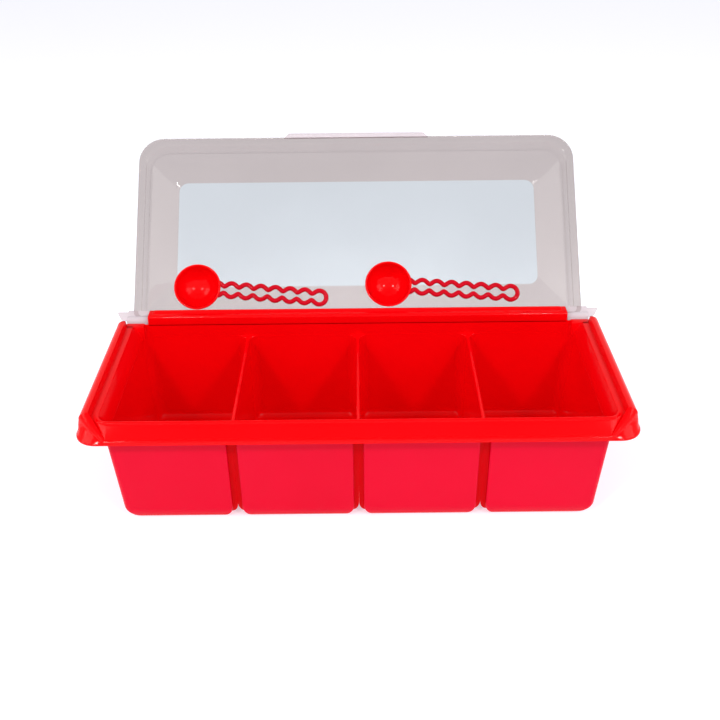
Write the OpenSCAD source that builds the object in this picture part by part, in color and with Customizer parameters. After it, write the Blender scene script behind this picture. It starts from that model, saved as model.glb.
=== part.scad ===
// Condiment caddy: a moulded four-well tray with a rolled rim, one clear hinged lid
// standing open, and two loose scoops lying in the trough behind the hinge bar.
// Millimetres. Origin: on the table, at the middle of the room that the open caddy takes.
// X right, Y back, Z up. The modules draw about the tray's own middle.

/* [Tray] */
// Height of the mouth's edge above the table
rim_h = 64.5; // [45:0.5:100]
// Half width of the tray's underside, before its edge is rounded
base_half_w = 121.2; // [100:0.1:160]
// Half depth of the tray's underside, before its edge is rounded
base_half_d = 48.1; // [40:0.1:80]
// Draft of the outer walls, degrees
draft = 4; // [1:0.1:8]
// Wall of the tray
wall = 2; // [1.4:0.1:3]
// Thickness of the well floors
floor_t = 2; // [1.4:0.1:4]
// Half width of the mouth at its edge
mouth_half_w = 130.5; // [105:0.1:170]
// Half depth of the mouth at its edge
mouth_half_d = 50; // [42:0.1:84]
// Corner radius of the mouth in plan
mouth_r = 6; // [3:0.5:15]
// How far the divider tops lie under the mouth's edge
divider_drop = 8.1; // [4:0.1:20]
// Distance between dividers
well_pitch = 64.4; // [50:0.1:80]
// Thickness of a divider at its top
divider_t = 2; // [1.2:0.1:4]
// Draft of the dividers, degrees
divider_draft = 0.4; // [0:0.1:1.5]
// Upright corner radius inside a well
well_r = 5.5; // [3:0.1:12]
// Radius between a well's walls and its floor
well_floor_r = 4.5; // [2:0.1:8]
// Radius round the underside of each cup
foot_r = 5.5; // [3:0.1:8]
// Width of the upright grooves between the cups
groove_w = 5; // [3:0.1:8]
// Depth of the upright grooves between the cups
groove_d = 3.4; // [1:0.1:4]

/* [Front rim] */
// Diameter of the bead along the mouth's front edge
bead_d = 2.4; // [1.6:0.1:4]
// How far the front flange stands out from the mouth's edge
flange_out = 10; // [6:0.1:16]
// How far the flange's lip hangs below the mouth's edge
flange_drop = 8.5; // [6:0.1:14]
// Height of the flange's upright lip
lip_h = 1.7; // [1:0.1:4]
// How far the flange's sloping band starts below the mouth's edge
band_drop = 1.6; // [1:0.1:3]

/* [Side rails] */
// Radius of the rolled rail
rail_r = 4.3; // [3:0.1:6]
// Distance from the mouth's edge to the middle of the rolled rail
rail_out = 5.2; // [4.5:0.1:9]
// Height of the rail's crest above the mouth's edge
rail_up = 3.8; // [1:0.1:6]
// Flat ledge between the mouth's edge and the rail, where the lid rests
ledge_w = 3.7; // [3:0.1:8]
// How far the rail's back end stops short of the mouth's back edge
rail_short = 2.6; // [2:0.1:10]

/* [Hinge] */
// Distance of the hinge axis behind the mouth's back edge
hinge_back = 4.6; // [4:0.1:10]
// Distance of the hinge axis below the mouth's edge
hinge_drop = 0.3; // [0:0.1:4]
// Radius that the hinge bar keeps inside, so that the lid and scoops swing round it
bar_r = 6.4; // [5:0.1:10]
// Diameter of the lid's hinge pins
pin_d = 4; // [2:0.1:6]
// Gap all round a pin in its socket
pin_gap = 0.08; // [0.02:0.01:0.1]
// Length of a pin in its socket
pin_len = 2.3; // [1.5:0.1:4]
// Radius of the barrel on each of the lid's hinge tabs
barrel_r = 2.8; // [2:0.1:4]
// How far each end of the hinge bar stops short of the mouth's side edge
bar_short = 7.2; // [4:0.1:14]
// How far the bar's upper bead stops short of its ends
bar_bead_short = 1.6; // [0.5:0.1:5]
// Width of a hinge tab on the lid
tab_w = 11.7; // [6:0.1:16]
// Space between the moving pieces
gap = 0.3; // [0.2:0.05:1]

/* [Lid] */
// Angle between the open lid and the closed lid, degrees
open_angle = 131.9; // [90:0.1:150]
// Wall of the lid
lid_wall = 1.5; // [1:0.1:3]
// Height of the lid's panel above its rim
lid_h = 20; // [12:0.1:40]
// Side gap between the lid and the rails
lid_side_gap = 2.1; // [0.5:0.1:4]
// Width of the flat flange round the lid's rim
lid_flange_w = 4; // [2:0.1:8]
// Height of the lid's steep skirt
lid_skirt_h = 9; // [4:0.1:14]
// How far the skirt leans in
lid_skirt_in = 1.2; // [0.2:0.1:4]
// Distance from the lid's side edge to its flat panel
panel_side = 19.1; // [12:0.1:40]
// Distance from the lid's front edge to its flat panel
panel_front = 21.5; // [12:0.1:40]
// Distance from the hinge axis to the flat panel
panel_back = 25.2; // [18:0.1:40]
// Height of the small step round the panel
panel_step = 0.6; // [0.2:0.1:1.5]
// Radius of the panel's corners
panel_r = 6; // [3:0.1:20]
// Radius of the lid's front corners, which clear the ends of the rolled rails
lid_r = 20; // [16:0.5:26]
// Width of the finger tab on the lid's front edge
finger_w = 88; // [30:1:160]
// How far the finger tab stands out
finger_out = 2.6; // [1:0.1:6]
// How far each ear at the lid's back corners reaches past the hinge tab
ear_out = 6.6; // [2:0.1:8]

/* [Scoops] */
// Outer radius of a scoop's bowl
bowl_r = 13.6; // [9:0.1:16]
// Wall of a scoop's bowl
bowl_wall = 1.3; // [0.8:0.1:2]
// How far the bowl's rim lies below the middle of its sphere
bowl_rim = 1.9; // [0:0.1:4]
// Lobes along a scoop's handle
lobes = 7; // [3:1:12]
// Distance between the lobes
lobe_pitch = 8.65; // [6:0.05:12]
// Width of the handle over a lobe
lobe_w = 11.6; // [8:0.1:16]
// Width of the handle over a neck
neck_w = 7.3; // [6:0.1:12]
// Thickness of the handle's wavy wire
wire_t = 2.7; // [2:0.1:4]
// Angle of the handle down to the right, degrees
handle_slope = 5.5; // [0:0.1:10]
// Left scoop: distance of its bowl left of the tray's middle
left_x = 94; // [60:0.5:110]
// Right scoop: distance of its bowl right of the tray's middle
right_x = 18.5; // [0:0.5:50]
// Bowl's middle along the open lid, from the hinge axis
bowl_along = 20.1; // [18:0.1:30]
// Bowl's middle inside the lid's rim plane
bowl_inside = 1; // [0:0.1:6]

/* [Hidden] */
$fn = 64;

origin_back = 37.4;
arc_steps = 6;
tiny = 0.01;
lap = 0.3;
seam = 0.05;
over = 3;

slope = tan(draft);
well_top = rim_h - divider_drop;
inner_half_w = base_half_w + well_top * slope - wall;
flare_power = 1.7;
flare_steps = 6;
lip_z = rim_h - flange_drop;
cup_lap = 2;
cup_top = lip_z + cup_lap;
skin = wall;

rail_x = mouth_half_w + rail_out;
rail_z = rim_h + rail_up - rail_r;
rail_face_x = rail_x + rail_r;
flank_x = mouth_half_w + ledge_w;
flank_lean = 0.7;
corner_x = rail_face_x - flange_out;
rail_back_y = mouth_half_d - rail_short;

bar_half_w = mouth_half_w - bar_short;
hinge_y = mouth_half_d + hinge_back;
hinge_z = rim_h - hinge_drop;
bar_corner_r = 1.4;
bar_bead_r = 3.3;
bar_bead_y = 1.3;
bar_wall = 1.6;
bar_end = 6;
bar_back = 4.4;
bore_r = pin_d / 2 + pin_gap;
bore_len = pin_len + gap + pin_gap;

tab_x = bar_half_w + gap + pin_gap;
lid_half_w = mouth_half_w + ledge_w - lid_side_gap;
lid_rim = hinge_drop + gap;
lid_front = hinge_back + 2 * mouth_half_d + flange_out;
lid_back = 2.5;
lid_back_w = 6.4;
lid_top = lid_rim + lid_h;
sweep_gap = 0.8;
lid_corner_back = 3;
ear_len = 6.4;
ear_start = 0.5;
ear_cut = 3;
finger_end = 3;
gate_d = 4;
gate_h = 0.3;

lobe_half = (lobe_w - wire_t) / 2;
neck_half = (neck_w - wire_t) / 2;
wave_mid = (lobe_half + neck_half) / 2;
wave_amp = (lobe_half - neck_half) / 2;
handle_from = bowl_r - 2.2;
last_lobe = bowl_r + lobe_pitch * (lobes - 0.3);
path_steps = 8;
wire_sides = 8;

// ---- shared forms ----

// Outline of a rectangle with its own radius at each corner: front left, front right,
// back right, back left.
function corner(cx, cy, r, a0) =
    [for (i = [0:arc_steps]) [cx + r * cos(a0 + 90 * i / arc_steps), cy + r * sin(a0 + 90 * i / arc_steps)]];
function ring(x0, x1, y0, y1, r) = concat(
    corner(x0 + r[0], y0 + r[0], r[0], 180),
    corner(x1 - r[1], y0 + r[1], r[1], 270),
    corner(x1 - r[2], y1 - r[2], r[2], 0),
    corner(x0 + r[3], y1 - r[3], r[3], 90));

// Solid through a stack of outlines that all have the same number of points.
module loft(rings, heights) {
    n = len(rings[0]);
    top = len(rings) - 1;
    points = [for (k = [0:top]) for (p = rings[k]) [p[0], p[1], heights[k]]];
    sides = [for (k = [0:top - 1]) for (i = [0:n - 1])
        [k * n + i, (k + 1) * n + i, (k + 1) * n + (i + 1) % n, k * n + (i + 1) % n]];
    polyhedron(points, concat([[for (i = [0:n - 1]) i]], sides, [[for (i = [n - 1:-1:0]) top * n + i]]));
}

// Profile in (Y, Z) drawn out along X, centred.
module along_x(width) {
    rotate([90, 0, 90]) linear_extrude(width, center = true) children();
}

// Profile in (X, Z) drawn out along Y between two places.
module along_y(y0, y1) {
    translate([0, y1, 0]) rotate([90, 0, 0]) linear_extrude(y1 - y0) children();
}

module both_sides() {
    children();
    mirror([1, 0, 0]) children();
}

// ---- tray ----

function outer_x(z) = base_half_w + z * slope;
function outer_y(z) = base_half_d + z * slope;
function flare_x(z) = z <= well_top
    ? outer_x(z) - wall
    : inner_half_w + (mouth_half_w - inner_half_w) * pow((z - well_top) / divider_drop, flare_power);

// One cup's outside: x0 and x1 are its sides, and open sides are rounded and drafted.
function cup_ring(cup, z, inset) =
    let (first = cup == 0, last = cup == 3,
        x0 = first ? -outer_x(z) : (cup - 2) * well_pitch - lap,
        x1 = last ? outer_x(z) : (cup - 1) * well_pitch + lap,
        rl = max((first ? well_r + wall : lap) - inset, tiny * 10),
        rr = max((last ? well_r + wall : lap) - inset, tiny * 10))
    ring(x0 + inset, x1 - inset, -outer_y(z) + inset, outer_y(z) - inset, [rl, rr, rr, rl]);

module cup(cup) {
    turns = [for (i = [0:arc_steps]) 90 * i / arc_steps];
    low = [for (a = turns) cup_ring(cup, foot_r * (1 - cos(a)), foot_r * (1 - sin(a)))];
    low_z = [for (a = turns) foot_r * (1 - cos(a))];
    loft(concat(low, [cup_ring(cup, cup_top, 0)]), concat(low_z, [cup_top]));
}

// One well's inside, with a rounded floor.
function well_ring(cup, z, inset) =
    let (first = cup == 0, last = cup == 3,
        side = divider_t / 2 + (well_top - z) * tan(divider_draft),
        x0 = first ? -outer_x(z) + wall : (cup - 2) * well_pitch + side,
        x1 = last ? outer_x(z) - wall : (cup - 1) * well_pitch - side,
        y1 = min(outer_y(z) - wall, mouth_half_d),
        r = well_r - inset)
    ring(x0 + inset, x1 - inset, -y1 + inset, y1 - inset, [r, r, r, r]);

module well(cup) {
    turns = [for (i = [0:arc_steps]) 90 * i / arc_steps];
    low = [for (a = turns) well_ring(cup, floor_t + well_floor_r * (1 - cos(a)), well_floor_r * (1 - sin(a)))];
    low_z = [for (a = turns) floor_t + well_floor_r * (1 - cos(a))];
    loft(concat(low, [well_ring(cup, well_top, 0), well_ring(cup, well_top, 0)]),
        concat(low_z, [well_top, well_top + lap]));
}

// Common space over the dividers, flaring out to the mouth's edge at the sides.
module pocket(grow, z_from, z_to) {
    steps = [for (i = [0:flare_steps]) well_top + divider_drop * i / flare_steps];
    levels = concat([z_from], steps, [z_to]);
    r = mouth_r + grow;
    loft([for (z = levels)
            let (x = flare_x(min(z, rim_h)) + grow,
                y = mouth_half_d + grow)
            ring(-x, x, -y, y, [r, r, r, r])],
        levels);
}

// Upright groove between two cups, following the front wall's draft.
module groove() {
    r = groove_w / 2;
    translate([0, r - base_half_d + groove_d - groove_w, -foot_r])
        rotate([draft, 0, 0]) {
            translate([0, 0, 0]) cylinder(r = r, h = lip_z + foot_r);
            translate([-r, -foot_r, 0]) cube([groove_w, foot_r, lip_z + foot_r]);
        }
}

// Front flange: bead, valley, sloping band and lip. Profile in (-Y, Z) from the mouth's edge.
module flange_outline() {
    r = bead_d / 2;
    translate([r, -r]) circle(r = r);
    polygon([[0, -flange_drop], [0, -r], [bead_d, -band_drop], [bead_d + r / 2, -band_drop],
        [flange_out - r, lip_h * 2 - flange_drop - r / 4], [flange_out - r / 4, lip_h * 2 - flange_drop - r],
        [flange_out, lip_h - flange_drop], [flange_out, -flange_drop]]);
}

module flange_hollow() {
    r = bead_d / 2;
    polygon([[r / 2, -flange_drop - over], [r / 2, -band_drop - skin], [skin, -band_drop - skin],
        [flange_out - skin - r / 2, lip_h - flange_drop - r / 2], [flange_out - skin, lip_h - flange_drop - r],
        [flange_out - skin, -flange_drop - over]]);
}

// Side rail: ledge, steep inner flank and rolled outer face. Profile in (X, Z).
module rail_outline(x0) {
    difference() {
        union() {
            translate([rail_x, rail_z]) circle(r = rail_r);
            translate([x0, lip_z]) square([rail_face_x - x0, rail_z - lip_z]);
            translate([x0, lip_z]) square([rail_x - x0, rim_h - lip_z]);
        }
        polygon([[x0 - over, rim_h], [flank_x, rim_h], [flank_x + flank_lean, rail_z + rail_r + tiny],
            [flank_x + flank_lean, rim_h + rail_up + over], [x0 - over, rim_h + rail_up + over]]);
    }
}

module rail_hollow(x0) {
    translate([x0, lip_z - over]) square([rail_face_x - skin - x0, flange_drop + over - skin]);
    intersection() {
        translate([rail_x, rail_z]) circle(r = rail_r - skin);
        translate([flank_x + skin, lip_z]) square([rail_r * 2, flange_drop * 2]);
    }
}

// Rail profile turned round the front corner and closed by a rounded end.
module knob(hollow) {
    r = hollow ? rail_r - skin : rail_r;
    low = hollow ? lip_z - over : lip_z;
    translate([corner_x, -mouth_half_d, 0]) {
        rotate([0, 0, -90]) rotate_extrude(angle = 90) intersection() {
            translate([-corner_x, 0]) if (hollow) rail_hollow(corner_x); else rail_outline(corner_x);
            translate([0, low]) square([2 * flange_out, 2 * flange_drop]);
        }
        intersection() {
            translate([0, -(rail_x - corner_x), 0]) {
                translate([0, 0, rail_z]) sphere(r = r - seam);
                translate([0, 0, low]) cylinder(r = r - seam, h = rail_z - low);
            }
            translate([0, corner_x - flank_x - (hollow ? skin : 0), rim_h])
                rotate([atan(flank_lean / rail_up), 0, 0])
                    translate([-flange_out, -2 * flange_out, -2 * flange_drop])
                        cube([flange_out + lap, 2 * flange_out, 3 * flange_drop]);
        }
    }
}

// Hinge bar in (Y, Z) about the hinge axis: square shoulder in front, bead on top.
module bar_outline(inset) {
    r = bar_corner_r;
    up = sqrt(pow(bar_r - r, 2) - pow(hinge_back - r, 2)) - tiny * 5;
    translate([r - hinge_back + inset, up - inset]) circle(r = r);
    translate([bar_back - r - inset, up - inset]) circle(r = r);
    translate([r - hinge_back + inset, up - inset - r]) square([hinge_back + bar_back - 2 * r - 2 * inset, 2 * r]);
    translate([inset - hinge_back, hinge_drop - flange_drop - (inset > 0 ? over : 0)])
        square([hinge_back + bar_back - 2 * inset, up - hinge_drop + flange_drop - inset + (inset > 0 ? over : 0)]);
}

module bar() {
    translate([0, hinge_y, hinge_z]) {
        difference() {
            along_x(2 * bar_half_w) bar_outline(0);
            along_x(2 * (bar_half_w - bar_end)) bar_outline(bar_wall);
        }
        difference() {
            along_x(2 * (bar_half_w - bar_bead_short))
                translate([bar_bead_y, sqrt(pow(bar_r - seam - bar_bead_r, 2) - pow(bar_bead_y, 2))])
                    circle(r = bar_bead_r);
            along_x(2 * bar_half_w + over) translate([-bar_r, -bar_r]) square([2 * bar_r, bar_r + bar_bead_r]);
        }
    }
}

module rim() {
    difference() {
        union() {
            translate([0, -mouth_half_d, rim_h]) mirror([0, 1, 0])
                along_x(2 * (corner_x + lap)) flange_outline();
            both_sides() {
                along_y(-mouth_half_d, rail_back_y) rail_outline(inner_half_w);
                knob(false);
            }
        }
        translate([0, -mouth_half_d, rim_h]) mirror([0, 1, 0])
            along_x(2 * (corner_x + lap)) flange_hollow();
        both_sides() {
            along_y(-mouth_half_d, rail_back_y - skin) rail_hollow(inner_half_w);
            knob(true);
        }
    }
}

// Space in which each of the lid's barrels and tabs turns.
module tab_space() {
    translate([tab_x - gap - pin_gap, hinge_y, hinge_z]) rotate([0, 90, 0])
        cylinder(r = barrel_r + gap, h = tab_w + over);
}

module sockets() {
    both_sides()
        translate([bar_half_w - bore_len, hinge_y, hinge_z]) rotate([0, 90, 0])
            cylinder(r = bore_r, h = bore_len + over);
}

module tray() {
    color([0.86, 0.01, 0.03])
    translate([0, -origin_back, 0]) difference() {
        union() {
            rim();
            bar();
            pocket(wall - lap, lip_z - cup_lap / 2, rim_h);
            for (i = [0:3]) cup(i);
        }
        pocket(0, well_top, rim_h + rail_up + over);
        for (i = [0:3]) well(i);
        for (i = [-1:1], side = [0, 1]) mirror([0, side, 0])
            translate([i * well_pitch, 0, 0]) groove();
        both_sides() tab_space();
        sockets();
    }
}

// ---- lid, drawn closed about the hinge axis: forward is -Y ----

function lid_ring(grow, side_in, front_in, back, w) =
    let (x = lid_half_w - side_in - grow, f = lid_front - front_in - grow, b = back + grow,
        rf = max(lid_r - front_in * (lid_r - panel_r) / panel_front - grow, 1),
        rb = max(lid_corner_back + (panel_r - lid_corner_back) * (w - lid_rim) / lid_h - grow, 1))
    ring(-x, x, -f, -b, [rf, rf, rb, rb]);

module lid_form(grow) {
    skirt_in = lid_flange_w + lid_skirt_in;
    low = lid_rim - (grow > 0 ? over : 0);
    flange_z = lid_rim + lid_wall - grow;
    skirt_z = lid_rim + lid_skirt_h - grow;
    panel_z = lid_top - panel_step - grow;
    step_in = panel_step * 3;
    loft([lid_ring(grow, grow > 0 ? lid_flange_w : 0, grow > 0 ? lid_flange_w : 0, lid_back, lid_rim),
            lid_ring(grow, grow > 0 ? lid_flange_w : 0, grow > 0 ? lid_flange_w : 0, lid_back, lid_rim),
            lid_ring(grow, lid_flange_w, lid_flange_w, lid_back, lid_rim + lid_wall),
            lid_ring(grow, skirt_in, skirt_in, lid_back_w, skirt_z),
            lid_ring(grow, panel_side, panel_front, panel_back, lid_top),
            lid_ring(grow, panel_side + step_in, panel_front + step_in, panel_back + step_in, lid_top)],
        [low, flange_z, flange_z + tiny, skirt_z, panel_z, lid_top - grow]);
}

module lid_tab() {
    translate([tab_x, 0, 0]) rotate([0, 90, 0]) cylinder(r = barrel_r, h = tab_w);
    translate([tab_x, -lid_back - lid_wall - over, lid_rim]) cube([tab_w, lid_back + lid_wall + over, barrel_r - lid_rim]);
    translate([tab_x - pin_len, 0, 0]) rotate([0, 90, 0]) cylinder(d = pin_d, h = pin_len + over);
    translate([0, 0, lid_rim]) linear_extrude(lid_wall)
        polygon([[tab_x + tab_w - over, -ear_start], [tab_x + tab_w + ear_out - ear_cut, -ear_start],
            [tab_x + tab_w + ear_out, -ear_len], [tab_x + tab_w - over, -ear_len]]);
}

module lid_closed() {
    difference() {
        union() {
            lid_form(0);
            translate([0, -lid_front, lid_rim]) linear_extrude(lid_wall)
                polygon([[-finger_w / 2, lap], [finger_end - finger_w / 2, -finger_out],
                    [finger_w / 2 - finger_end, -finger_out], [finger_w / 2, lap]]);
            both_sides() lid_tab();
        }
        lid_form(lid_wall);
        along_x(2 * tab_x) circle(r = bar_r + sweep_gap);
    }
    both_sides() translate([tab_x - pin_len, 0, 0]) rotate([0, 90, 0]) cylinder(d = pin_d, h = pin_len + over);
    translate([0, -(panel_back + lid_front - panel_front) / 2, lid_top - tiny]) cylinder(d = gate_d, h = gate_h);
}

module lid() {
    color([0.85, 0.84, 0.86, 0.35])
    translate([0, hinge_y - origin_back, hinge_z]) rotate([-open_angle, 0, 0]) lid_closed();
}

// ---- scoops: bowl's middle at the origin, opening up, handle along +X ----

function wave(x) = wave_mid + wave_amp * cos(360 * (x - last_lobe) / lobe_pitch);
handle_steps = ceil((last_lobe - handle_from) / lobe_pitch * path_steps);
function side_path(sign) =
    [for (i = [0:handle_steps]) let (x = handle_from + (last_lobe - handle_from) * i / handle_steps)
        [x, sign * wave(x)]];
function reverse(list) = [for (i = [len(list) - 1:-1:0]) list[i]];
wire_path = concat(side_path(-1),
    [for (i = [1:path_steps - 1]) let (a = 180 * i / path_steps - 90)
        [last_lobe + lobe_half * cos(a), lobe_half * sin(a)]],
    reverse(side_path(1)));

// Wire of an even thickness along a flat path.
module wire(path, thickness) {
    last = len(path) - 1;
    r = thickness / 2 / cos(180 / wire_sides);
    points = [for (i = [0:last])
        let (a = path[max(i - 1, 0)], b = path[min(i + 1, last)],
            d = (b - a) / norm(b - a))
        for (j = [0:wire_sides - 1])
            let (t = 360 * (j + 0.5) / wire_sides)
            [path[i][0] + d[1] * r * cos(t), path[i][1] - d[0] * r * cos(t), r * sin(t)]];
    quads = [for (i = [0:last - 1]) for (j = [0:wire_sides - 1])
        let (p = i * wire_sides + j, q = i * wire_sides + (j + 1) % wire_sides)
        each [[p, q, q + wire_sides], [p, q + wire_sides, p + wire_sides]]];
    polyhedron(points, concat([[for (j = [wire_sides - 1:-1:0]) j]], quads,
        [[for (j = [0:wire_sides - 1]) last * wire_sides + j]]));
}

module scoop() {
    color([0.86, 0.01, 0.03])
    difference() {
        union() {
            difference() {
                sphere(r = bowl_r);
                translate([-bowl_r - lap, -bowl_r - lap, -bowl_rim]) cube(2 * (bowl_r + lap));
            }
            translate([0, 0, -bowl_rim - wire_t / 2]) wire(wire_path, wire_t);
        }
        sphere(r = bowl_r - bowl_wall);
    }
}

// Scoop at its resting place in the trough between the hinge bar and the open lid.
module scoop_at(x) {
    translate([x, hinge_y - origin_back, hinge_z]) rotate([180 - open_angle, 0, 0])
        translate([0, bowl_along, bowl_inside]) rotate([0, 0, -handle_slope]) scoop();
}

module spoon_left() {
    scoop_at(-left_x);
}

module spoon_right() {
    scoop_at(right_x);
}

tray();
lid();
spoon_left();
spoon_right();
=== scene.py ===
"""Looks of the condiment caddy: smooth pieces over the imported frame, materials, floor, lights, camera.

Pieces are drawn in millimetres about the tray's own middle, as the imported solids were, and put
into the row's frame in metres. X runs right, Y back and Z up from the table. Points across a
section are (out, up) or (Y, Z). A round is given by its radius, a wall by its thickness.
"""
import math

import bmesh
import bpy
from mathutils import Matrix, Vector


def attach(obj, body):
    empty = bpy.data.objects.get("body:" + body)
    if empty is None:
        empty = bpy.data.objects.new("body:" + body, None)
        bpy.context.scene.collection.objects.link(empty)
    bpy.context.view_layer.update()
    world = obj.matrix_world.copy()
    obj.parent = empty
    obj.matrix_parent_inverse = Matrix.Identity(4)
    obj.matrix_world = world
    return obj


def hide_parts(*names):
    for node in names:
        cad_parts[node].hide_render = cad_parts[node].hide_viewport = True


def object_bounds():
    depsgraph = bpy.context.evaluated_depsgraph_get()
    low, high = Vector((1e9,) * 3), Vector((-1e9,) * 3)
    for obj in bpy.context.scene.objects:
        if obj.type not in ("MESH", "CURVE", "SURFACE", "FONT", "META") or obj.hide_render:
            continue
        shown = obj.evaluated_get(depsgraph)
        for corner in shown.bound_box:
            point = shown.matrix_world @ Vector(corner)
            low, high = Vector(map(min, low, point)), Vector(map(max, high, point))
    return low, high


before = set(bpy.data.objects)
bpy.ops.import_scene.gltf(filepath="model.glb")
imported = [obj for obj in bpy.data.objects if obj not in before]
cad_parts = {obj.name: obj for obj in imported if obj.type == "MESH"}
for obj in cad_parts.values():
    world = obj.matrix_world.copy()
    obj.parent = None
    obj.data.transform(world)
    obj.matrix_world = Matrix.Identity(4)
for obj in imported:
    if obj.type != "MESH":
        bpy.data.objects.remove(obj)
cad_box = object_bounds()

MM = 0.001
OUT_X = cad_box[1][0] / MM - 0.05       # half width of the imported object, which nothing passes
ROW_Y = -37.4                           # the tray's middle in the row
CORNER_STEPS = 8                        # faces round each corner of an outline
SHARP = 38                              # degrees between faces from which an edge is sharp
MERGE = 0.002                           # points this close are one

# Wells: four pockets with thin dividers under one mouth
CUPS, PITCH = 4, 64.4
RIM_Z, WELL_TOP, WALL, FLOOR_T = 64.5, 56.4, 2.0, 2.0
BASE_W, BASE_D, SLOPE = 124.1, 48.1, math.tan(math.radians(4))
MOUTH_W, MOUTH_D, MOUTH_R = 130.5, 50.0, 6.0
INNER_W = BASE_W + WELL_TOP * SLOPE - WALL
FLARE_POWER, FLARE_STEPS = 1.7, 8       # how the ends flare from the dividers' tops to the mouth
DIVIDER_HALF, DIVIDER_LEAN, DIVIDER_ROUND = 1.0, math.tan(math.radians(0.4)), 0.9
WELL_R, WELL_FLOOR_R = 5.5, 4.5
SEAM = 0.1                              # the wells' tops stay this far inside the pocket's wall

# Cups: the wells' outsides, with grooves between them
CUP_R, CUP_TOP, COLLAR_TOP = 3.0, 55.2, 61.5
FOOT_R, FOOT_FRONT, FOOT_SIDE = 7.5, 0.4, 0.75  # the foot's round, its share in front and at a groove
GROOVE_HALF, GROOVE_D, GROOVE_R = 2.6, 3.3, 0.8
NOOK_IN, NOOK_BACK, CUP_APART = 0.3, 0.1, 0.02      # the groove's back corners and the slit between cups

# Rim: a bead in front and a ledge at the sides, then the flange in front and the rails at the sides
BEAD_R, EDGE_R, FLANGE_DROP, LIP_H, BAND_DROP = 1.2, 0.5, 8.5, 1.7, 1.6
BEAD_FROM, BEAD_GROWS = 0.35, 0.5       # sine of the corner's angle at which the bead starts and grows
LEDGE = ((0, -EDGE_R), (0.15, -0.15), (EDGE_R, 0), (0.9, 0), (1.2, 0), (1.5, 0), (1.7, 0))
LIP_Z = RIM_Z - FLANGE_DROP
RAIL_R, RAIL_OUT, RAIL_UP, LEDGE_W = 4.3, 5.2, 3.8, 3.7
RAIL_X, RAIL_Z = MOUTH_W + RAIL_OUT, RIM_Z + RAIL_UP - RAIL_R
RAIL_LIP_H, FLANK_TURN, FLANK_STEPS, RAIL_BACK = 1.3, 100.0, 12, 47.4
VALLEY_SIDE, VALLEY_FRONT = 2.4, 3.0    # the low line inside the ridge, out from the mouth
RAIL_ROWS, FLANGE_ROWS = (RAIL_BACK, 20, -10, -36), (80, 40, 0)
RAIL_CAP = ((-1.0, 0), (0, 0), (0.45, 0.04), (0.6, 0.12))   # back, and share of the way to the middle
CAP_MIDDLE_DOWN = 3
SHELF_IN, SHELF_OUT, SHELF_BACK, SHELF_FRONT, SHELF_R, SHELF_EDGE = 6, 1.2, 1.4, 1, 0.8, 0.15

# Knob: where the rail's ridge turns the front corner and runs down into the flange's lip
KNOB_R, KNOB_Y, KNOB_STEPS, RIDGE_X, RIDGE_END_R = 11.7, -48.3, 28, 125.5, 1.2
KNOB_X = OUT_X - KNOB_R
FACE = ((0.3, 0.25), (0.55, 0.5), (0.76, 0.75), (0.9, 0.9), (1.0, 1.0))     # shares across and down
LIP_ROUND, FRONT_LIP_H = 0.6, 0.8
SKIN = 1.0

# Hinge
HINGE_Y, HINGE_Z = MOUTH_D + 4.6, RIM_Z - 0.3
BAR_HALF, BAR_FRONT, BAR_BACK, BAR_TOP, BAR_ROUND, BAR_END = 122.5, 4.6, 4.4, 5.19, 1.4, 0.5
BAR_LOW = 0.3 - FLANGE_DROP
BAR_STEP, BAR_STEP_LOW, BAR_STEP_HIGH = 0.05, -0.9, -0.6    # the bar's foot, set back from the pocket
BAR_BEAD_R, BAR_BEAD_Y, BAR_BEAD_Z, BAR_BEAD_SHORT = 3.3, 1.3, 2.76, 2.4
PIN_R, PIN_LEN, PIN_ROOT, SOCKET_R, SOCKET_LEN, SOCKET_PAST = 2.0, 2.3, 1, 2.08, 2.7, 2
OPEN_ANGLE = 131.9

# Lid, drawn closed about the hinge axis
TAB_X, TAB_END, BARREL_R = BAR_HALF + 0.38, 135.38, 2.8
TAB_DEPTH, TAB_ROUND, TAB_EDGE = 6.5, 0.6, 0.3
LID_W, LID_FRONT, LID_RIM, LID_WALL = 132.1, 114.6, 0.6, 1.5
LID_R, LID_BACK_R, PANEL_R, LID_STEPS = 15.0, 3.0, 6.0, 12
# Each row of the lid: in from the sides, in from the front, back edge from the axis, up
LID_ROWS = ((0, 0, 2.5, 1.5), (2.4, 2.4, 2.5, 1.5), (3.5, 3.5, 2.7, 1.9), (4.1, 4.1, 3.1, 2.9),
            (5.05, 5.05, 6.0, 8.2), (5.2, 5.2, 6.4, 9.0), (5.9, 6.0, 7.3, 9.7),
            (20.8, 21.0, 24.7, 19.2), (21.3, 21.5, 25.2, 19.4))
PANEL_ROWS = (LID_ROWS[-1], (22.4, 22.6, 26.3, 19.5), (23.1, 23.3, 27.0, 20.0))
PANEL_IN, PANEL_FROM = 21.3, 19.41
EAR = ((-3, -0.5), (3.2, -0.5), (4.2, -1.2), (6.2, -4.9), (6.0, -5.6), (-3, -5.6))  # from the tab's end
FINGER_HALF, FINGER_OUT, FINGER_SLANT, FINGER_ROOT = 44.0, 2.6, 3, 0.3
BAR_CLEAR = 7.2                         # the lid's shell is cut away this far round the hinge axis

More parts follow.
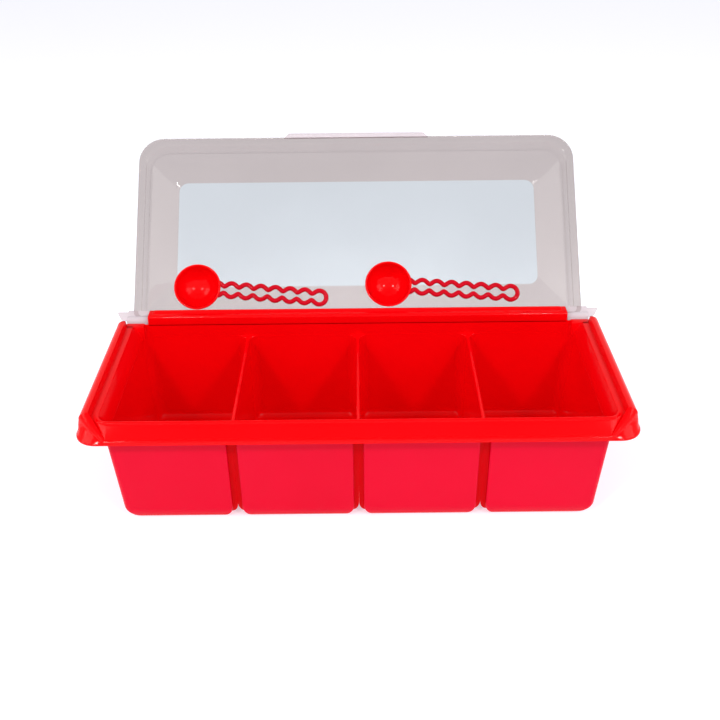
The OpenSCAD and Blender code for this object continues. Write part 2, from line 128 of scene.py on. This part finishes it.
# Scoops
BOWL_R, BOWL_WALL, BOWL_RIM, BOWL_ROWS, BOWL_AROUND, BOWL_RIM_STEPS = 14.0, 1.3, 1.9, 18, 72, 6
WIRE_R, WIRE_SIDES, WIRE_STEPS, WIRE_ROOT, TIP_STEPS = 1.4, 14, 150, 1.6, 24
LOBES, LOBE_PITCH, LOBE_HALF, NECK_HALF, FIRST_LOBE, NECK_SOFT = 7, 8.75, 4.2, 1.2, 0.3, 0.06
SCOOP_LIFT = 1.0                        # from the hinge's level to the bowl's rim
SCOOPS = (("scoop_left", "spoon_left", -95.0, 20.8, 5.5),      # piece, body, x, way up the lid, slope
          ("scoop_right", "spoon_right", 18.5, 21.4, 4.6))

# Camera and lights, in metres
SENSOR, LENS, CLIP = 36.0, 50.0, (0.01, 20.0)
CAMERA_AT = (0.0019221, -0.5014636, 0.344116)
CAMERA_RIGHT, CAMERA_UP = (0.9999467, -0.0041035, -0.0094720), (0.0102393, 0.5106858, 0.8597064)
FLOOR_HALF, WORLD_STRENGTH, AIM = 3.0, 0.8, (0, 0, 0.05)
LIGHTS = (("key", (-0.9, -0.3, 0.8), 0.6, 4.0),                 # name, place, size, watts
          ("fill", (0.9, -0.3, 0.8), 0.6, 3.4),
          ("glint_left", (-0.5, -0.8, 0.85), 0.12, 3.8),
          ("glint_right", (0.5, -0.8, 0.85), 0.12, 3.8))


def smooth(t):
    t = min(max(t, 0.0), 1.0)
    return t * t * (3 - 2 * t)


def mix(a, b, t):
    return a + (b - a) * t


def turn(degrees):
    return math.cos(math.radians(degrees)), math.sin(math.radians(degrees))


def quarter(step):
    """Cosines and sines over a quarter turn."""
    return [turn(angle) for angle in range(0, 91, step)]


def outer_x(z):
    return BASE_W + z * SLOPE


def outer_y(z):
    return BASE_D + z * SLOPE


def divider_x(cup, side):
    """Middle of the divider to the left (side -1) or right (1) of a cup."""
    return (cup - (1 if side > 0 else 2)) * PITCH


def ring(x0, x1, y0, y1, radii, z, steps=CORNER_STEPS):
    """Rectangle with rounded corners, as (x, y, z): front left, front right, back right, back left."""
    points = []
    for k, (cx, cy) in enumerate(((x0, y0), (x1, y0), (x1, y1), (x0, y1))):
        rx, ry = radii[k] if isinstance(radii[k], tuple) else (radii[k], radii[k])
        sx, sy = (1 if cx == x0 else -1), (1 if cy == y0 else -1)
        for i in range(steps + 1):
            c, s = turn(180 + 90 * k + 90 * i / steps)
            points.append((cx + sx * rx + rx * c, cy + sy * ry + ry * s, z))
    return points


def circle(cy, cz, r, steps=32):
    return [(cy + r * turn(360 * i / steps)[0], cz + r * turn(360 * i / steps)[1]) for i in range(steps)]


def placed(obj):
    bpy.context.scene.collection.objects.link(obj)
    return obj


def shaded(mesh):
    mesh.shade_smooth()
    mesh.set_sharp_from_angle(angle=math.radians(SHARP))


class Skin:
    """Rows of points that are joined into one mesh."""

    def __init__(self):
        self.points, self.faces = [], []

    def add(self, rows, loop=False, low=False, high=False):
        """Faces between rows of equal length; low and high close the first and last row."""
        start, n = len(self.points), len(rows[0])
        for row in rows:
            self.points += row
        for k in range(len(rows) - 1):
            for i in range(n if loop else n - 1):
                a, b = start + k * n + i, start + k * n + (i + 1) % n
                self.faces.append((a, b, b + n, a + n))
        if low:
            self.faces.append(tuple(range(start + n - 1, start - 1, -1)))
        if high:
            self.faces.append(tuple(range(len(self.points) - n, len(self.points))))

    def plane_with_holes(self, outlines):
        work = bmesh.new()
        for outline in outlines:
            verts = [work.verts.new(p) for p in outline]
            for i, vert in enumerate(verts):
                work.edges.new((vert, verts[(i + 1) % len(verts)]))
        bmesh.ops.triangle_fill(work, edges=work.edges[:], use_beauty=True)
        work.verts.index_update()
        start = len(self.points)
        self.points += [tuple(v.co) for v in work.verts]
        self.faces += [tuple(start + v.index for v in f.verts) for f in work.faces]
        work.free()

    def object(self, name, place=Matrix()):
        """Object in the row's frame, from points in millimetres about the tray's middle."""
        mesh = bpy.data.meshes.new(name)
        work = bmesh.new()
        verts = [work.verts.new(p) for p in self.points]
        for face in self.faces:
            work.faces.new([verts[i] for i in face])
        bmesh.ops.remove_doubles(work, verts=work.verts, dist=MERGE)
        bmesh.ops.recalc_face_normals(work, faces=work.faces)
        to_row = Matrix.Diagonal((MM, MM, MM, 1)) @ Matrix.Translation((0, ROW_Y, 0))
        bmesh.ops.transform(work, matrix=to_row @ place, verts=work.verts)
        work.to_mesh(mesh)
        work.free()
        shaded(mesh)
        return placed(bpy.data.objects.new(name, mesh))


def applied(obj, **modifiers):
    """Applies each named modifier, given as its type and settings, and shades the result again."""
    for kind, settings in modifiers.items():
        mod = obj.modifiers.new(kind, kind)
        for key, value in settings.items():
            setattr(mod, key, value)
    graph = bpy.context.evaluated_depsgraph_get()
    mesh = bpy.data.meshes.new_from_object(obj.evaluated_get(graph))
    obj.modifiers.clear()
    obj.data = mesh
    shaded(mesh)
    return obj


def cut(obj, cutter):
    applied(obj, BOOLEAN={"operation": "DIFFERENCE", "solver": "EXACT", "object": cutter})
    bpy.data.objects.remove(cutter)


def joined(name, objects):
    """One object from several, keeping each one's materials."""
    work, mats = bmesh.new(), []
    for obj in objects:
        start = len(work.faces)
        work.from_mesh(obj.data)
        work.faces.ensure_lookup_table()
        mats += [mat for mat in obj.data.materials if mat not in mats]
        for face in work.faces[start:]:
            face.material_index = mats.index(obj.data.materials[face.material_index])
    mesh = bpy.data.meshes.new(name)
    work.to_mesh(mesh)
    work.free()
    for mat in mats:
        mesh.materials.append(mat)
    for obj in objects:
        bpy.data.objects.remove(obj)
    return placed(bpy.data.objects.new(name, mesh))


def rod(outline, x0, x1, round_r, steps=4):
    """Profile in (Y, Z) drawn out along X, with rounded ends."""
    normals = []
    for i in range(len(outline)):
        a, b = Vector(outline[i - 1]), Vector(outline[(i + 1) % len(outline)])
        d = (b - a).normalized()
        normals.append((-d.y, d.x))
    rows = []
    for end, sign in ((x0, 1), (x1, -1)):
        part = []
        for i in range(steps + 1):
            c, s = turn(90 * i / steps)
            inset, along = round_r * (1 - s), round_r * (1 - c)
            part.append([(end + sign * along, p[0] + q[0] * inset, p[1] + q[1] * inset)
                         for p, q in zip(outline, normals)])
        rows += part if sign > 0 else part[::-1]
    skin = Skin()
    skin.add(rows, loop=True, low=True, high=True)
    return skin


# ---- tray ----

def groove_corner(middle, edge, side):
    """Cup's corner at a groove, from the front face in to the middle between two cups."""
    x, back = middle - side * GROOVE_HALF, edge + GROOVE_D
    points = [(x - side * GROOVE_R * (1 - s), edge + GROOVE_R * (1 - c)) for c, s in quarter(15)]
    return points + [(x, back), (x + side * NOOK_IN, back + NOOK_BACK), (middle, back + NOOK_BACK)]


def cup_ring(cup, z, inset):
    """One cup's outline: plain round corners at the tray's ends, grooves beside its neighbours."""
    half_d, corners = outer_y(z) - FOOT_FRONT * inset, []
    for side in (1, -1):
        if (cup, side) in ((0, -1), (CUPS - 1, 1)):
            x, r = side * (outer_x(z) - inset - CUP_R), CUP_R
            corners.append([(x + side * r * c, r - half_d - r * s) for c, s in quarter(10)[::-1]])
        else:
            middle = divider_x(cup, side) - side * max(FOOT_SIDE * inset, CUP_APART)
            corners.append(groove_corner(middle, -half_d, side))
    right, left = corners
    front = left[::-1] + right
    return [(x, y, z) for x, y in front] + [(x, -y, z) for x, y in front[::-1]]


def cups(cup_red_painted_shade, groove_red_painted_shade):
    """Outsides of the four cups under a plain collar, in a red with painted shade and reflection; the
    grooves between them lie in shade, painted as a darker red.
    """
    skin = Skin()
    for cup in range(CUPS):
        rows = [cup_ring(cup, FOOT_R * (1 - c), FOOT_R * (1 - s)) for c, s in quarter(10)]
        skin.add(rows + [cup_ring(cup, CUP_TOP, 0)], loop=True, low=True)
    skin.add([ring(-outer_x(z), outer_x(z), -outer_y(z), outer_y(z), [CUP_R] * 4, z)
              for z in (CUP_TOP, COLLAR_TOP)], loop=True)
    obj = skin.object("cups")
    # First material: the cups' red with painted shade and painted reflection.
    obj.data.materials.append(cup_red_painted_shade)
    obj.data.materials.append(groove_red_painted_shade)
    # Upright faces inside the grooves take the second material: painted shade in the recesses between the
    # cups.
    for face in obj.data.polygons:
        x, y, z = face.center / MM
        upright = abs(face.normal.z) < 0.5
        if abs(x) < 1.5 * PITCH and abs(y - ROW_Y) < outer_y(z) - GROOVE_R and upright:
            face.material_index = 1
    return obj


def well_ring(cup, z, inset, widen):
    """One well's outline, drawn in by inset at its floor and out by widen over the dividers."""
    first, last = cup == 0, cup == CUPS - 1
    side = DIVIDER_HALF + (WELL_TOP - z) * DIVIDER_LEAN - widen
    end = min(outer_x(z) - WALL, INNER_W - SEAM)
    x0 = -end if first else divider_x(cup, -1) + side
    x1 = end if last else divider_x(cup, 1) - side
    y1 = min(outer_y(z) - WALL, MOUTH_D - SEAM)
    r = WELL_R - inset
    left, right = (r + (0 if first else widen), r), (r + (0 if last else widen), r)
    return ring(x0 + inset, x1 - inset, inset - y1, y1 - inset, [left, right, right, left], z)


def wells():
    skin, tops = Skin(), []
    for cup in range(CUPS):
        rows = [well_ring(cup, FLOOR_T + WELL_FLOOR_R * (1 - c), WELL_FLOOR_R * (1 - s), 0)
                for c, s in quarter(10)]
        rows += [well_ring(cup, WELL_TOP - DIVIDER_ROUND * (1 - s), 0, DIVIDER_ROUND * (1 - c))
                 for c, s in quarter(15)]
        skin.add(rows, loop=True, low=True)
        tops.append(rows[-1])
    edge = ring(-INNER_W, INNER_W, -MOUTH_D, MOUTH_D, [MOUTH_R] * 4, WELL_TOP)
    skin.plane_with_holes([edge] + tops)
    return skin


def bead_share(angle):
    """How much of the front bead there is at an angle round the mouth: 1 in front, 0 at the sides."""
    return smooth((-math.sin(math.radians(angle)) - BEAD_FROM) / BEAD_GROWS)


def pocket():
    """Common space over the dividers, from their tops to the mouth's edge."""
    rows = []
    for k in range(FLARE_STEPS + 1):
        t = k / FLARE_STEPS
        x = INNER_W + (MOUTH_W - INNER_W) * t ** FLARE_POWER
        level = []
        for i, (px, py, _) in enumerate(ring(-x, x, -MOUTH_D, MOUTH_D, [MOUTH_R] * 4, 0)):
            corner, step = divmod(i, CORNER_STEPS + 1)
            share = bead_share(180 + 90 * corner + 90 * step / CORNER_STEPS)
            level.append((px, py, mix(WELL_TOP, RIM_Z - mix(EDGE_R, BEAD_R, share), t)))
        rows.append(level)
    skin = Skin()
    skin.add(rows, loop=True)
    return skin


def edge_tracks(share):
    """Mouth's edge as (out, up): a small round over the ledge at the sides, the bead in front."""
    bead = [(BEAD_R * (1 - turn(a)[0]), BEAD_R * (turn(a)[1] - 1)) for a in range(0, 181, 30)]
    return [(mix(p[0], q[0], share), mix(p[1], q[1], share)) for p, q in zip(LEDGE, bead)]


def rim_row(s, mouth, normal, shift=(0, 0)):
    """One row across the rim, from inside to the lip. s runs from the rail, 0, to the flange, 1."""
    share = bead_share(math.degrees(math.atan2(normal[1], normal[0])))
    row = [(mouth[0] + normal[0] * u, mouth[1] + normal[1] * u, RIM_Z + w) for u, w in edge_tracks(share)]
    # The lip's outline: a quarter turn of the knob, then straight along the front.
    run = s * (KNOB_R * math.pi / 2 + KNOB_X - RIDGE_X)
    angle = math.degrees(run / KNOB_R)
    if angle < 90:
        lip = Vector((KNOB_X + KNOB_R * turn(angle)[0], KNOB_Y - KNOB_R * turn(angle)[1]))
    else:
        lip = Vector((KNOB_X - run + KNOB_R * math.pi / 2, KNOB_Y - KNOB_R))
    # The ridge: a round of radius r at height z, with a flank down to the valley inside it.
    ridge = Vector((RAIL_X, KNOB_Y)).lerp(Vector((RIDGE_X, KNOB_Y - KNOB_R + RIDGE_END_R)), s)
    out = (lip - ridge).normalized()
    r, z = mix(RAIL_R, RIDGE_END_R, s), mix(RAIL_Z, LIP_Z + LIP_H - RIDGE_END_R / 4, s)
    base = ridge + out * mix(MOUTH_W + LEDGE_W - RAIL_X, -RIDGE_END_R / 2, s)
    valley = Vector((MOUTH_W + VALLEY_SIDE, KNOB_Y)).lerp(Vector((RIDGE_X, -MOUTH_D - VALLEY_FRONT)), s)
    outside = [(valley.x, valley.y, RIM_Z - BAND_DROP * s),
               (base.x, base.y, mix(RIM_Z, LIP_Z + LIP_H + RIDGE_END_R / 2, s))]
    for i in range(FLANK_STEPS + 1):
        c, t = turn(mix(FLANK_TURN, 0, i / FLANK_STEPS))
        p = ridge + out * r * c
        outside.append((p.x, p.y, z + r * t))
    # The outer face, down to the lip's rounded edge.
    lip_z, lip_round = LIP_Z + mix(RAIL_LIP_H, FRONT_LIP_H, s), LIP_ROUND * (1 - s)
    crest = ridge + out * r
    for across, down in FACE:
        p = crest.lerp(lip - out * lip_round, across)
        outside.append((p.x, p.y, mix(z, lip_z, down)))
    for c, t in quarter(30)[1:]:
        p = lip - out * lip_round * (1 - t)
        outside.append((p.x, p.y, lip_z - LIP_ROUND * (1 - c)))
    outside.append((lip.x, lip.y, LIP_Z))
    return row + [(p[0] + shift[0], p[1] + shift[1], p[2]) for p in outside]


def rim():
    """Half the rim from the right rail's back to the middle of the front, and its mirror image."""
    rows = [rim_row(0, (MOUTH_W, y), (1, 0), (0, y - KNOB_Y)) for y in RAIL_ROWS]
    for k in range(KNOB_STEPS + 1):
        s = k / KNOB_STEPS
        c, t = turn(-90 * s)
        mouth = (MOUTH_W - MOUTH_R + MOUTH_R * c, MOUTH_R - MOUTH_D + MOUTH_R * t)
        rows.append(rim_row(s, mouth, (c, t)))
    rows += [rim_row(1, (x, -MOUTH_D), (0, -1), (x - RIDGE_X, 0)) for x in FLANGE_ROWS]
    rows += [[(-p[0], p[1], p[2]) for p in row] for row in rows[-2::-1]]
    skin = Skin()
    skin.add(rows)
    return skin


def rail_ends():
    """Closed back ends of the rails and the small shelves beside the hinge bar."""
    section = [(MOUTH_W, LIP_Z)] + [(p[0], p[2]) for p in rim_row(0, (MOUTH_W, 0), (1, 0))]
    middle_x, middle_z = RAIL_X, RAIL_Z - CAP_MIDDLE_DOWN
    parts = []
    for side in (-1, 1):
        cap, shelf = Skin(), Skin()
        cap.add([[(side * mix(x, middle_x, share), RAIL_BACK + back, mix(z, middle_z, share))
                  for x, z in section] for back, share in RAIL_CAP], loop=True, high=True)
        x0, x1 = sorted((side * (MOUTH_W - SHELF_IN), side * (MOUTH_W + LEDGE_W + SHELF_OUT)))
        shelf.add([ring(x0 + d, x1 - d, RAIL_BACK - SHELF_FRONT + d, MOUTH_D + SHELF_BACK - d,
                        [SHELF_R - d] * 4, z)
                   for d, z in ((0, LIP_Z), (0, RIM_Z - EDGE_R), (SHELF_EDGE, RIM_Z - SHELF_EDGE),
                                (EDGE_R, RIM_Z))],
                  loop=True, low=True, high=True)
        parts += [cap, shelf]
    return parts


def bar_corner(y, first, last):
    """Rounded top corner of the hinge bar about y, from one angle down to another."""
    return [(y + BAR_ROUND * turn(a)[0], BAR_TOP - BAR_ROUND + BAR_ROUND * turn(a)[1])
            for a in range(first, last - 1, -15)]


def hinge_bar():
    """Bar with a blind socket in each end, and the round bead along its top."""
    outline = [(BAR_STEP - BAR_FRONT, BAR_LOW), (BAR_STEP - BAR_FRONT, BAR_STEP_LOW),
               (-BAR_FRONT, BAR_STEP_HIGH), (-BAR_FRONT, BAR_TOP - BAR_ROUND)]
    outline += bar_corner(BAR_ROUND - BAR_FRONT, 165, 90) + bar_corner(BAR_BACK - BAR_ROUND, 90, 0)
    outline += [(BAR_BACK, BAR_LOW)]
    section = [(HINGE_Y + y, HINGE_Z + z) for y, z in reversed(outline)]
    bar = rod(section, -BAR_HALF, BAR_HALF, BAR_END).object("bar")
    for side in (-1, 1):
        x0, x1 = sorted((side * (BAR_HALF - SOCKET_LEN), side * (BAR_HALF + SOCKET_PAST)))
        cut(bar, rod(circle(HINGE_Y, HINGE_Z, SOCKET_R), x0, x1, 0).object("socket"))
    half = BAR_HALF - BAR_BEAD_SHORT
    bead = rod(circle(HINGE_Y + BAR_BEAD_Y, HINGE_Z + BAR_BEAD_Z, BAR_BEAD_R), -half, half, BAR_ROUND, 6)
    return [bar, bead.object("bar_bead")]


def tray_piece(red, cup_red_painted_shade, groove_red_painted_shade):
    shell = {"thickness": SKIN * MM, "offset": -1, "use_even_offset": False}
    parts = [applied(rim().object("rim"), SOLIDIFY=shell),
             applied(pocket().object("pocket"), SOLIDIFY=dict(shell, offset=1)),
             wells().object("wells")]
    parts += [skin.object("rail_end") for skin in rail_ends()] + hinge_bar()
    for part in parts:
        part.data.materials.clear()
        part.data.materials.append(red)
    return joined("tray_moulding", parts + [cups(cup_red_painted_shade, groove_red_painted_shade)])


# ---- lid ----

def lid_ring(side_in, front_in, back, up):
    share = min(side_in / PANEL_IN, 1)
    rf, rb = mix(LID_R, PANEL_R, share), mix(LID_BACK_R, PANEL_R, share)
    x, front = LID_W - side_in, LID_FRONT - front_in
    return ring(-x, x, HINGE_Y - front, HINGE_Y - back, [rf, rf, rb, rb], HINGE_Z + LID_RIM + up, LID_STEPS)


def lid_shell(clear, panel_clear_painted_light):
    """Domed wall and panel, cut clear of the hinge bar."""
    skin = Skin()
    skin.add([lid_ring(*row) for row in LID_ROWS], loop=True)
    skin.add([lid_ring(*row) for row in PANEL_ROWS], loop=True, high=True)
    shell = skin.object("lid_shell")
    shell.data.materials.append(clear)
    shell.data.materials.append(panel_clear_painted_light)
    # Faces above the panel's edge take the lighter, bluer tint of painted light; the sloping walls keep the
    # greyer tint of painted shade.
    for face in shell.data.polygons:
        if face.center.z / MM > HINGE_Z + LID_RIM + PANEL_FROM:
            face.material_index = 1
    applied(shell, SOLIDIFY={"thickness": LID_WALL * MM, "offset": -1, "use_even_offset": True})
    cut(shell, rod(circle(HINGE_Y, HINGE_Z, BAR_CLEAR, 48), -TAB_X, TAB_X, 0).object("clear_of_bar"))
    return shell


def lid_plate(outline):
    """Flat plate at the level of the lid's rim, as thick as its wall."""
    skin = Skin()
    skin.add([[(x, HINGE_Y + y, HINGE_Z + LID_RIM + z) for x, y in outline] for z in (0, LID_WALL)],
             loop=True, low=True, high=True)
    return skin


def lid_tabs():
    """Barrel, tab, pin and ear at each end of the hinge, and the finger tab in front."""
    tabs = []
    block = [(-TAB_DEPTH, LID_RIM), (-TAB_DEPTH, BARREL_R - TAB_ROUND), (TAB_ROUND - TAB_DEPTH, BARREL_R),
             (0, BARREL_R), (0, LID_RIM)]
    section = [(HINGE_Y + y, HINGE_Z + z) for y, z in reversed(block)]
    for side in (-1, 1):
        x0, x1 = sorted((side * TAB_X, side * TAB_END))
        tabs.append(rod(circle(HINGE_Y, HINGE_Z, BARREL_R), x0, x1, TAB_EDGE))
        tabs.append(rod(section, x0, x1, TAB_EDGE))
        x0, x1 = sorted((side * (TAB_X - PIN_LEN), side * (TAB_X + PIN_ROOT)))
        tabs.append(rod(circle(HINGE_Y, HINGE_Z, PIN_R), x0, x1, TAB_EDGE))
        tabs.append(lid_plate([(side * (TAB_END + x), y) for x, y in EAR]))
    half, inner, outer = FINGER_HALF, FINGER_ROOT - LID_FRONT, -LID_FRONT - FINGER_OUT
    tabs.append(lid_plate([(-half, inner), (FINGER_SLANT - half, outer), (half - FINGER_SLANT, outer),
                           (half, inner)]))
    return tabs


def lid_piece(clear, panel_clear_painted_light, solid_clear):
    parts = [lid_shell(clear, panel_clear_painted_light)]
    for skin in lid_tabs():
        part = skin.object("lid_part")
        part.data.materials.append(solid_clear)
        parts.append(part)
    lid = joined("lid_moulding", parts)
    to_row = Matrix.Diagonal((MM, MM, MM, 1)) @ Matrix.Translation((0, ROW_Y, 0))
    about_hinge = Matrix.Translation((0, HINGE_Y, HINGE_Z))
    swing = about_hinge @ Matrix.Rotation(-math.radians(OPEN_ANGLE), 4, "X") @ about_hinge.inverted()
    lid.data.transform(to_row @ swing @ to_row.inverted())
    lid.visible_shadow = False
    return lid


# ---- scoops ----

def bowl_side(r):
    """Section of a half sphere from its bottom to the level of the bowl's rim."""
    low = math.degrees(math.asin(BOWL_RIM / r))
    angles = [mix(-90, -low, i / BOWL_ROWS) for i in range(BOWL_ROWS + 1)]
    return [(r * turn(a)[0], r * turn(a)[1]) for a in angles]


def bowl():
    outside, half = bowl_side(BOWL_R), BOWL_WALL / 2
    edge = [turn(180 * i / BOWL_RIM_STEPS) for i in range(1, BOWL_RIM_STEPS)]
    profile = outside + [(outside[-1][0] - half * (1 - c), half * s - BOWL_RIM) for c, s in edge]
    profile += bowl_side(BOWL_R - BOWL_WALL)[::-1]
    around = [turn(360 // BOWL_AROUND * k) for k in range(BOWL_AROUND)]
    skin = Skin()
    skin.add([[(r * c, r * s, z) for c, s in around] for r, z in profile], loop=True)
    return skin


def wave(x, last):
    """Half width of the wavy handle at x: wide at the lobes, narrow at the necks between them."""
    cosine = math.cos(math.pi * (x - last) / LOBE_PITCH)
    return mix(NECK_HALF, LOBE_HALF, math.sqrt(cosine * cosine * (1 - NECK_SOFT) + NECK_SOFT))


def handle():
    """Round wire that runs out from the bowl in waves, round the tip and back."""
    last, first = BOWL_R + LOBE_PITCH * (LOBES - FIRST_LOBE), BOWL_R - WIRE_ROOT
    side = [mix(first, last, i / WIRE_STEPS) for i in range(WIRE_STEPS + 1)]
    side = [(x, wave(x, last)) for x in side]
    tip = [turn(90 - 180 / TIP_STEPS * i) for i in range(1, TIP_STEPS)]
    path = side + [(last + LOBE_HALF * c, LOBE_HALF * s) for c, s in tip] + [(x, -y) for x, y in side[::-1]]
    around = [turn(360 * k / WIRE_SIDES) for k in range(WIRE_SIDES)]
    rows = []
    for i, p in enumerate(path):
        a, b = Vector(path[max(i - 1, 0)]), Vector(path[min(i + 1, len(path) - 1)])
        d = (b - a).normalized()
        rows.append([(p[0] - d.y * WIRE_R * c, p[1] + d.x * WIRE_R * c, WIRE_R * s - BOWL_RIM - WIRE_R)
                     for c, s in around])
    skin = Skin()
    skin.add(rows, loop=True, low=True, high=True)
    return skin


def scoop_piece(name, x, along, slope, red, handle_red_painted_shade):
    """Scoop that lies against the open lid, with its handle falling to the right by the slope."""
    lid_plane = Matrix.Rotation(math.radians(180 - OPEN_ANGLE), 4, "X")
    place = (Matrix.Translation((x, HINGE_Y, HINGE_Z)) @ lid_plane
             @ Matrix.Translation((0, along, SCOOP_LIFT)) @ Matrix.Rotation(-math.radians(slope), 4, "Z"))
    parts = [bowl().object("bowl", place), handle().object("handle", place)]
    # The handle takes the darker, bluer red of painted shade and painted reflection.
    for part, mat in zip(parts, (red, handle_red_painted_shade)):
        part.data.materials.append(mat)
    return joined(name, parts)


# ---- materials ----

def set_inputs(node, **values):
    """Sets sockets by name, with underscores for spaces."""
    for key, value in values.items():
        node.inputs[key.replace("_", " ")].default_value = value


def new_material(name):
    mat = bpy.data.materials.new(name)
    mat.use_nodes = True
    nodes = mat.node_tree.nodes
    return mat, nodes, mat.node_tree.links, nodes["Principled BSDF"]


def ramp(nodes, low_at, high_at, low, high):
    node = nodes.new("ShaderNodeValToRGB")
    first, last = node.color_ramp.elements
    first.position, last.position = low_at, high_at
    first.color, last.color = low, high
    return node


def tinted(nodes, links, scale, low, high):
    """Slight cloud of two near colours, as moulded plastic has."""
    coords = nodes.new("ShaderNodeTexCoord")
    cloud = nodes.new("ShaderNodeTexNoise")
    set_inputs(cloud, Scale=scale, Detail=3.0)
    links.new(coords.outputs["Object"], cloud.inputs["Vector"])
    tint = ramp(nodes, 0.35, 0.7, low, high)
    links.new(cloud.outputs["Fac"], tint.inputs["Fac"])
    return coords, tint.outputs["Color"]


def grain(nodes, links, coords, bsdf, scale, strength):
    """Fine unevenness of the moulded surface."""
    noise = nodes.new("ShaderNodeTexNoise")
    set_inputs(noise, Scale=scale, Detail=2.0)
    links.new(coords.outputs["Object"], noise.inputs["Vector"])
    bump = nodes.new("ShaderNodeBump")
    set_inputs(bump, Strength=strength, Distance=0.0002)
    links.new(noise.outputs["Fac"], bump.inputs["Height"])
    links.new(bump.outputs["Normal"], bsdf.inputs["Normal"])


def red_plastic(name, low, high, specular=0.11):
    mat, nodes, links, bsdf = new_material(name)
    coords, colour = tinted(nodes, links, 14.0, low, high)
    links.new(colour, bsdf.inputs["Base Color"])
    grain(nodes, links, coords, bsdf, 700.0, 0.02)
    set_inputs(bsdf, Roughness=0.11, IOR=1.5, Specular_IOR_Level=specular)
    return mat


def clear_plastic(name, low, high, through=1.0):
    """Clear moulding, with painted shade that makes it slightly greyer where it is seen edge on."""
    mat, nodes, links, bsdf = new_material(name)
    coords, colour = tinted(nodes, links, 9.0, low, high)
    edge = nodes.new("ShaderNodeLayerWeight")
    set_inputs(edge, Blend=0.25)
    shade = ramp(nodes, 0.25, 0.85, (1, 1, 1, 1), (0.85, 0.83, 0.84, 1))
    links.new(edge.outputs["Facing"], shade.inputs["Fac"])
    both = nodes.new("ShaderNodeMix")
    both.data_type, both.blend_type = "RGBA", "MULTIPLY"
    factor, first, second, product = both.inputs[0], both.inputs[6], both.inputs[7], both.outputs[2]
    factor.default_value = 1.0
    links.new(colour, first)
    links.new(shade.outputs["Color"], second)
    links.new(product, bsdf.inputs["Base Color"])
    grain(nodes, links, coords, bsdf, 40.0, 0.004)
    set_inputs(bsdf, Roughness=0.05, IOR=1.22, Transmission_Weight=through)
    return mat


red = red_plastic("red_plastic", (0.80, 0.0004, 0.002, 1), (0.84, 0.0006, 0.003, 1))
# The cups' red is darker and bluer than the wells': painted shade and painted reflection on the cups'
# outsides.
cup_red_painted_shade = red_plastic("cup_red_painted_shade", (0.64, 0.0006, 0.020, 1), (0.68, 0.0009, 0.024, 1), 0.08)
# The grooves' red is darker still: painted shade in the recesses between the cups.
groove_red_painted_shade = red_plastic("groove_red_painted_shade", (0.62, 0.0004, 0.003, 1), (0.66, 0.0006, 0.004, 1), 0.03)
# The handles' red is darker and bluer than the bowls': painted shade and painted reflection.
handle_red_painted_shade = red_plastic("handle_plastic_painted_shade", (0.52, 0.002, 0.012, 1), (0.58, 0.003, 0.016, 1))
# The lid's walls are tinted greyer, painted shade on the slopes, and its panel lighter and bluer, painted
# light where it faces up.
clear = clear_plastic("clear_plastic", (0.50, 0.45, 0.435, 1), (0.54, 0.485, 0.47, 1))
panel_clear_painted_light = clear_plastic("clear_panel_painted_light", (0.58, 0.615, 0.63, 1), (0.61, 0.65, 0.665, 1))
solid_clear = clear_plastic("clear_solid", (0.66, 0.60, 0.63, 1), (0.70, 0.64, 0.67, 1), 0.35)

pieces = [(tray_piece(red, cup_red_painted_shade, groove_red_painted_shade), "tray", "red_plastic"),
          (lid_piece(clear, panel_clear_painted_light, solid_clear), "lid", "clear_plastic")]
pieces += [(scoop_piece(name, x, along, slope, red, handle_red_painted_shade), body, "red_plastic")
           for name, body, x, along, slope in SCOOPS]
for piece, body, slot in pieces:
    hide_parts(body)
    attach(piece, body)


# ---- stage ----

def stage_floor():
    mesh, s = bpy.data.meshes.new("floor"), FLOOR_HALF
    mesh.from_pydata([(-s, -s, 0), (s, -s, 0), (s, s, 0), (-s, s, 0)], [], [(0, 1, 2, 3)])
    floor = placed(bpy.data.objects.new("floor", mesh))
    mat, _, _, bsdf = new_material("floor_white")
    set_inputs(bsdf, Base_Color=(0.7, 0.7, 0.7, 1), Roughness=0.9,
               Emission_Color=(0.88, 0.88, 1.0, 1), Emission_Strength=0.52)
    mesh.materials.append(mat)


def area_light(name, place, size, watts):
    data = bpy.data.lights.new(name, "AREA")
    data.energy, data.size = watts, size
    light = placed(bpy.data.objects.new(name, data))
    light.location = place
    light.rotation_euler = (Vector(AIM) - Vector(place)).to_track_quat("-Z", "Y").to_euler()


def world_light():
    """White surroundings that darken towards the zenith."""
    world = bpy.data.worlds.new("studio")
    bpy.context.scene.world = world
    world.use_nodes = True
    nodes, links = world.node_tree.nodes, world.node_tree.links
    back = nodes["Background"]
    set_inputs(back, Strength=WORLD_STRENGTH)
    coords = nodes.new("ShaderNodeTexCoord")
    split = nodes.new("ShaderNodeSeparateXYZ")
    fade = ramp(nodes, 0.55, 0.95, (1, 1, 1, 1), (0.35, 0.35, 0.35, 1))
    links.new(coords.outputs["Generated"], split.inputs["Vector"])
    links.new(split.outputs["Z"], fade.inputs["Fac"])
    links.new(fade.outputs["Color"], back.inputs["Color"])


def camera():
    data = bpy.data.cameras.new("photo_camera")
    data.sensor_width, data.lens = SENSOR, LENS
    data.clip_start, data.clip_end = CLIP
    obj = placed(bpy.data.objects.new("photo_camera", data))
    right, up = Vector(CAMERA_RIGHT), Vector(CAMERA_UP)
    facing = Matrix((right, up, right.cross(up))).transposed().to_4x4()
    obj.matrix_world = Matrix.Translation(CAMERA_AT) @ facing
    bpy.context.scene.camera = obj


bpy.context.scene.view_settings.view_transform = "Standard"
stage_floor()
world_light()
for light in LIGHTS:
    area_light(*light)
camera()
